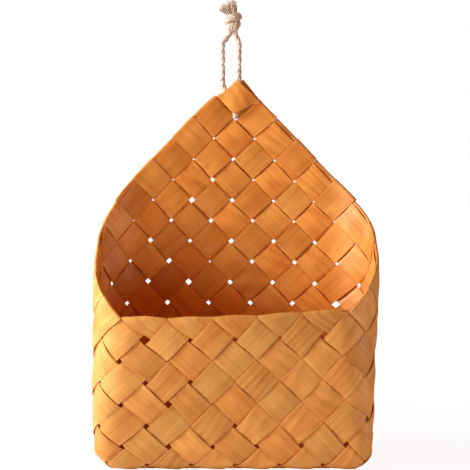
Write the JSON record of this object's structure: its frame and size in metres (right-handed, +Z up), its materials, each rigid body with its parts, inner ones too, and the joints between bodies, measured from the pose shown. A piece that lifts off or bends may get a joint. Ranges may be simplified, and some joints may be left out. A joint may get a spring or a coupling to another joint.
{
  "type": "wall basket",
  "caption": "Half-round mouthed wall basket plaited on the bias from thin wooden straps, with a pointed back and a knotted twine loop to hang it by.",
  "frame": {"origin": "middle of the underside, under the centre of the basket's box without its free twine", "axes": "+Z up along the back, +X to the right as seen from the front, +Y from the front wall to the back wall"},
  "size_m": [0.2638, 0.1059, 0.4432],
  "materials": {
    "strap_wood": "satin",
    "twine": "matte"
  },
  "bodies": {
    "basket": {"right_leaning_strap_1": "strap_wood", "right_leaning_strap_2": "strap_wood", "right_leaning_strap_3": "strap_wood", "right_leaning_strap_4": "strap_wood", "right_leaning_strap_5": "strap_wood", "right_leaning_strap_6": "strap_wood", "right_leaning_strap_7": "strap_wood", "right_leaning_strap_8": "strap_wood", "left_leaning_strap_1": "strap_wood", "left_leaning_strap_2": "strap_wood", "left_leaning_strap_3": "strap_wood", "left_leaning_strap_4": "strap_wood", "left_leaning_strap_5": "strap_wood", "left_leaning_strap_6": "strap_wood", "left_leaning_strap_7": "strap_wood", "left_leaning_strap_8": "strap_wood", "captive_twine": "twine"},
    "hanger": {"left_loop_leg": "twine", "right_loop_leg": "twine", "twine_knot": "twine", "left_twine_tail": "twine", "right_twine_tail": "twine"}
  },
  "joints": [
    {"name": "loop_swing", "type": "hinge", "parent": "basket", "child": "hanger", "pos_m": [-0.00385, 0.04702, 0.3784], "axis": [1, 0, 0], "range_deg": [-90, 90]}
  ]
}
